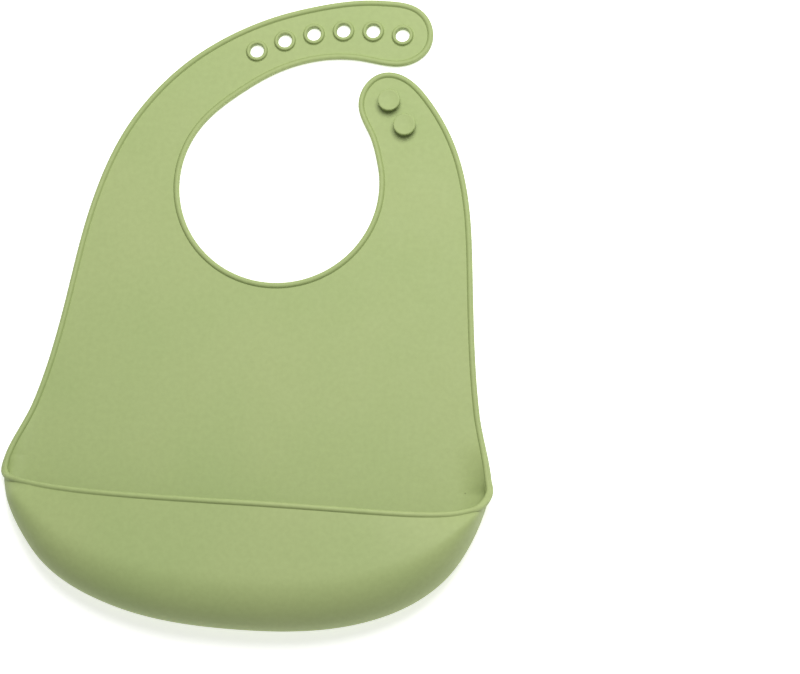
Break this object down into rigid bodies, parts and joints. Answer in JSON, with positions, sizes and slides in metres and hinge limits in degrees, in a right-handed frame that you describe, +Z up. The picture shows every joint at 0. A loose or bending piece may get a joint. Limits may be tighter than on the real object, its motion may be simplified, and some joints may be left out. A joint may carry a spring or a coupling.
{
  "type": "silicone bib",
  "caption": "Soft moulded baby bib with a raised edge bead, a scoop pocket that catches crumbs, and neck straps that close with studs pushed into collared holes.",
  "frame": {"origin": "middle of the bib's outline, on the surface it lies on", "axes": "+Y from the pocket to the neck opening, +Z up out of the bib's front, +X to the side of the short strap"},
  "size_m": [0.2258, 0.3013, 0.0317],
  "materials": {
    "silicone": "matte sage green silicone"
  },
  "bodies": {
    "pocket": {"pocket_back_wall": "silicone", "pocket_gutter": "silicone", "pocket_corner_bead_left": "silicone", "pocket_corner_bead_right": "silicone"},
    "pocket_front": {"pocket_front_wall": "silicone", "pocket_rim_bead": "silicone"},
    "lower_panel": {"lower_panel_sheet": "silicone", "lower_panel_bead_left": "silicone", "lower_panel_bead_right": "silicone"},
    "upper_panel": {"upper_panel_sheet": "silicone", "upper_panel_bead_left": "silicone", "upper_panel_bead_right": "silicone", "neck_bead": "silicone"},
    "long_strap_base": {"long_strap_base_sheet": "silicone", "long_strap_base_bead_outer": "silicone", "long_strap_base_bead_inner": "silicone"},
    "long_strap_end": {"long_strap_end_sheet": "silicone", "long_strap_end_bead": "silicone", "hole_collar_1": "silicone", "hole_collar_2": "silicone", "hole_collar_3": "silicone", "hole_collar_4": "silicone", "hole_collar_5": "silicone", "hole_collar_6": "silicone"},
    "short_strap": {"short_strap_sheet": "silicone", "short_strap_bead": "silicone", "stud_1": "silicone", "stud_2": "silicone"}
  },
  "joints": [
    {"name": "pocket_open", "type": "hinge", "parent": "pocket", "child": "pocket_front", "pos_m": [0, -0.1505, 0.012], "axis": [1, 0, 0], "range_deg": [0, 18], "stiffness_Nm_per_rad": 0.03},
    {"name": "panel_fold_low", "type": "hinge", "parent": "pocket", "child": "lower_panel", "pos_m": [0, -0.062, 0.0036], "axis": [1, 0, 0], "range_deg": [0, 80], "stiffness_Nm_per_rad": 0.02},
    {"name": "panel_fold_middle", "type": "hinge", "parent": "lower_panel", "child": "upper_panel", "pos_m": [0, -0.004, 0.0036], "axis": [1, 0, 0], "range_deg": [0, 60], "stiffness_Nm_per_rad": 0.02},
    {"name": "long_strap_root_bend", "type": "hinge", "parent": "upper_panel", "child": "long_strap_base", "pos_m": [-0.05438, 0.08926, 0.0011], "axis": [0.8829, -0.4695, 0], "range_deg": [-55, 40], "stiffness_Nm_per_rad": 0.005},
    {"name": "long_strap_middle_bend", "type": "hinge", "parent": "long_strap_base", "child": "long_strap_end", "pos_m": [-0.02676, 0.11688, 0.0011], "axis": [0.4695, -0.8829, 0], "range_deg": [-55, 40], "stiffness_Nm_per_rad": 0.004},
    {"name": "short_strap_bend", "type": "hinge", "parent": "upper_panel", "child": "short_strap", "pos_m": [0.07014, 0.07183, 0.0011], "axis": [0.9781, 0.2079, 0], "range_deg": [-55, 40], "stiffness_Nm_per_rad": 0.006}
  ]
}
